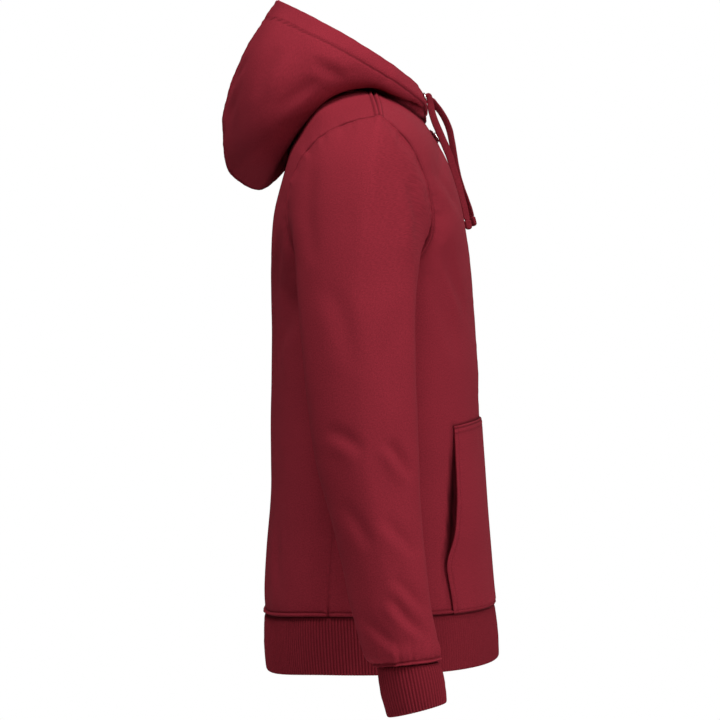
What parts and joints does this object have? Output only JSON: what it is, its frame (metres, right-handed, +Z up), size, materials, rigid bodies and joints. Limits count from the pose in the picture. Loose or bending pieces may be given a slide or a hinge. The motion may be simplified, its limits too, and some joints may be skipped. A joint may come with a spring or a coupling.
{
  "type": "zip up hoodie",
  "caption": "Zip-front hooded sweatshirt in its filled-out form, hood down, with rib cuffs and hem, front pockets and a drawcord.",
  "frame": {"origin": "middle of the neck at the height where the garment rests on the wearer's shoulders", "axes": "+Z up, -Y to the wearer's front, +X to the wearer's left"},
  "size_m": [0.65, 0.3314, 0.8193],
  "materials": {
    "fleece": "matt brushed cotton fleece, wine red with a fine heathered grain",
    "rib": "matt rib knit, a little darker than the fleece",
    "tape": "woven zip tape, dark wine",
    "chain": "dyed zip teeth, dark wine, slightly glossy",
    "cord": "flat woven braid, wine",
    "metal": "nickel plated, satin"
  },
  "bodies": {
    "garment": {"front_right": "fleece", "front_left": "fleece", "back": "fleece", "sleeve_right": "fleece", "sleeve_left": "fleece", "hood_right": "fleece", "hood_left": "fleece", "pocket_right": "fleece", "pocket_left": "fleece", "cuff_right": "rib", "cuff_left": "rib", "hem_band": "rib", "zip_tape_right": "tape", "zip_tape_left": "tape", "zip_tab_right": "tape", "zip_tab_left": "tape", "zip_chain": "chain", "zip_slider": "metal", "eyelet_right": "metal", "eyelet_left": "metal", "drawcord_right": "cord", "drawcord_left": "cord", "cord_end_right": "cord", "cord_end_left": "cord"},
    "pull": {"zip_pull": "metal"}
  },
  "joints": [
    {"name": "pull_hinge", "type": "hinge", "parent": "garment", "child": "pull", "pos_m": [0, -0.0781, -0.0453], "axis": [-1, 0, 0], "range_deg": [0, 150]}
  ]
}
